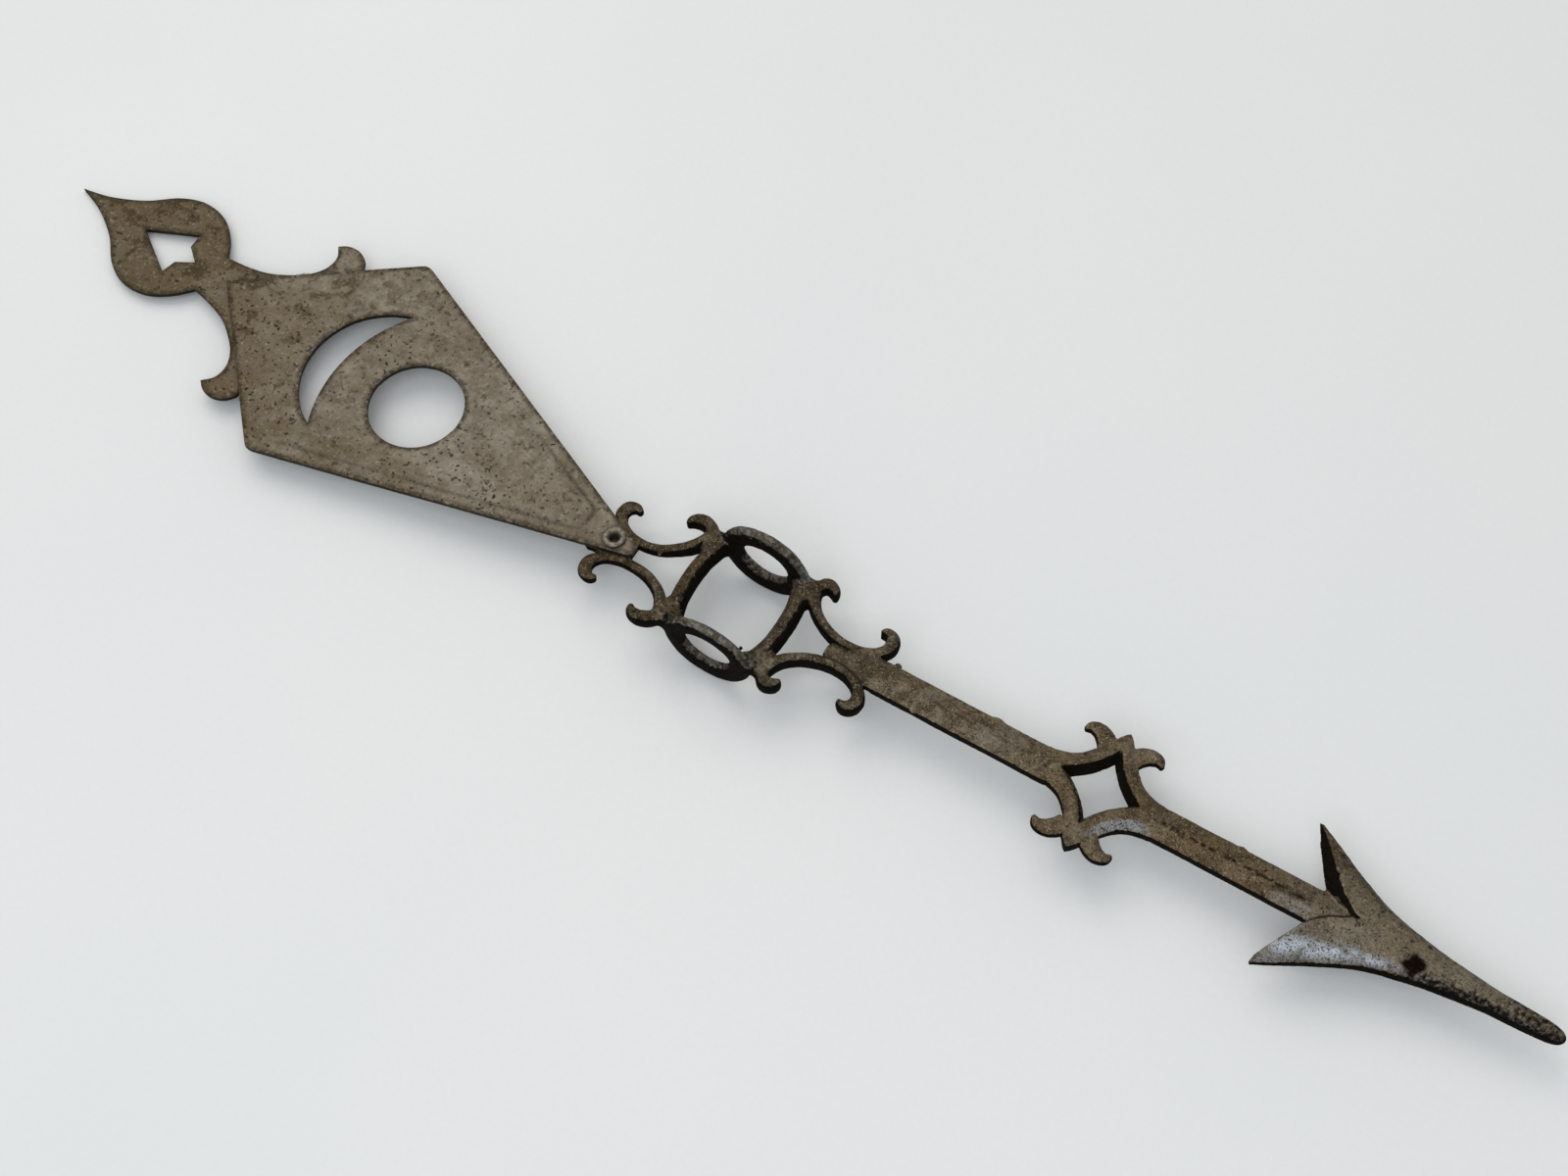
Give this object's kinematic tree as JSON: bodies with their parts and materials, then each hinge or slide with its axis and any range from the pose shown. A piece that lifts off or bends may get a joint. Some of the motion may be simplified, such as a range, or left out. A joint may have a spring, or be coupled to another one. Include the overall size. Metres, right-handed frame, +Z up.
{
  "type": "lightning rod arrow",
  "caption": "Cast lightning-rod arrow with a ringed rod cage, scrollwork, a diamond ornament, and a riveted kite tail plate with crescent and round cut-outs and a flame finial.",
  "frame": {"origin": "bottom centre of the object's bounding box as it lies on a table", "axes": "+X along the arrow to its tip, +Y across the arrow and along the rod passage, +Z up from the table"},
  "size_m": [0.6084, 0.0958, 0.0344],
  "materials": {
    "cast_iron": "weathered, dull grey-brown with blackened recesses",
    "tail_sheet": "weathered galvanised sheet, matte grey-brown with rust specks",
    "rivet_metal": "worn steel, satin",
    "solder": "dull bright solder"
  },
  "bodies": {
    "root": {"arrow_casting": "cast_iron", "kite_plate": "tail_sheet", "finial_plate": "tail_sheet", "tail_rivet": "rivet_metal", "rivet_washer": "rivet_metal", "solder_spot": "solder"}
  },
  "joints": []
}
